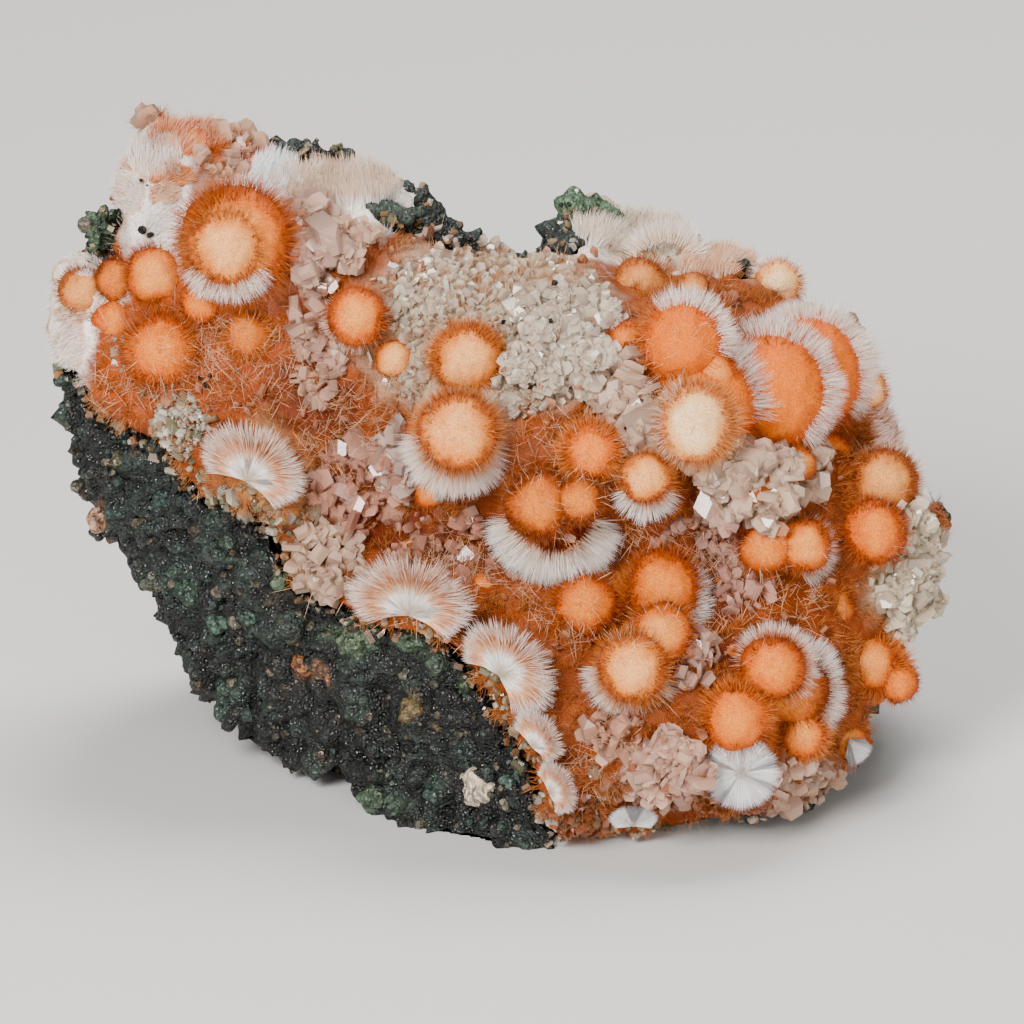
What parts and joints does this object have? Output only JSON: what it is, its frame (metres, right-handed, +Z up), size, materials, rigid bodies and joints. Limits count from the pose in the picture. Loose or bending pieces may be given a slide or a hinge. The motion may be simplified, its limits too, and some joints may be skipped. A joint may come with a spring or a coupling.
{
  "type": "thomsonite specimen on basalt",
  "caption": "Loose piece of dark basalt with a crust of orange, needle-fringed thomsonite balls and pale translucent crystals, resting on a flat spot.",
  "frame": {"origin": "middle of the bounding box at the flat spot it rests on", "axes": "+Z up from the flat spot, +X to the right along the crust, +Y towards the basalt back; the crust faces -Y and up"},
  "size_m": [0.1096, 0.0763, 0.0785],
  "materials": {
    "basalt": "rough broken rock",
    "thomsonite": "silky radiating needles",
    "pale_crystal": "translucent crystal faces"
  },
  "bodies": {
    "root": {"basalt_matrix": "basalt", "thomsonite_crust": "thomsonite", "pale_crystals_crest": "pale_crystal", "pale_crystals_right": "pale_crystal", "pale_crystals_lower_right": "pale_crystal", "pale_crystals_upper_left": "pale_crystal", "pale_crystals_lower_edge": "pale_crystal"}
  },
  "joints": []
}
